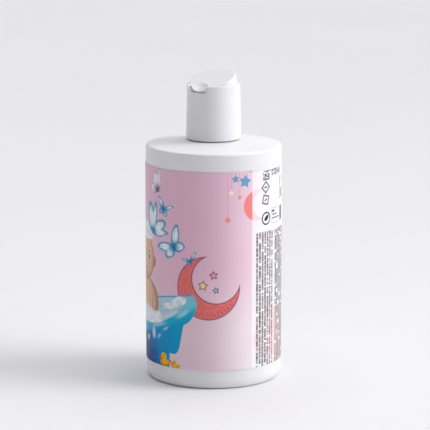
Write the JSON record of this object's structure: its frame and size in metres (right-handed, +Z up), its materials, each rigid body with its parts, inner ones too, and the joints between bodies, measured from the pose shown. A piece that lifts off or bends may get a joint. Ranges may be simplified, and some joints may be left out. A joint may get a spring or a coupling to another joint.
{
  "type": "shampoo bottle",
  "caption": "Round cylindrical shampoo bottle with a wrap label, a threaded neck and a screw-on cap whose top disc tilts open to raise its spout.",
  "frame": {"origin": "middle of the foot, on the surface that the bottle stands on", "axes": "+Z up along the bottle's axis, -Y towards the thumb notch of the cap, +Y towards the spout, +X along the disc's hinge axis"},
  "size_m": [0.07, 0.07, 0.1582],
  "materials": {
    "bottle_plastic": "satin blow-moulded polyethylene",
    "label_film": "satin printed film",
    "liner_foam": "closed-cell foam",
    "cap_plastic": "smooth injection-moulded polypropylene",
    "disc_plastic": "smooth injection-moulded polypropylene"
  },
  "bodies": {
    "bottle": {"bottle": "bottle_plastic", "label": "label_film"},
    "liner": {"liner": "liner_foam"},
    "cap": {"cap_body": "cap_plastic"},
    "disc": {"disc": "disc_plastic"}
  },
  "joints": [
    {"name": "cap_lift", "type": "slide", "parent": "bottle", "child": "liner", "axis": [0, 0, 1], "range_m": [0, 0.00476]},
    {"name": "cap_turn", "type": "hinge", "parent": "liner", "child": "cap", "pos_m": [0, 0, 0.1408], "axis": [0, 0, 1], "range_deg": [0, 540]},
    {"name": "disc_tilt", "type": "hinge", "parent": "cap", "child": "disc", "pos_m": [0, -0.0055, 0.1498], "axis": [1, 0, 0], "range_deg": [-19, 0]}
  ],
  "couplings": [
    {"joint": "cap_lift", "follows": "cap_turn", "m_per_rad": 0.00050532}
  ]
}
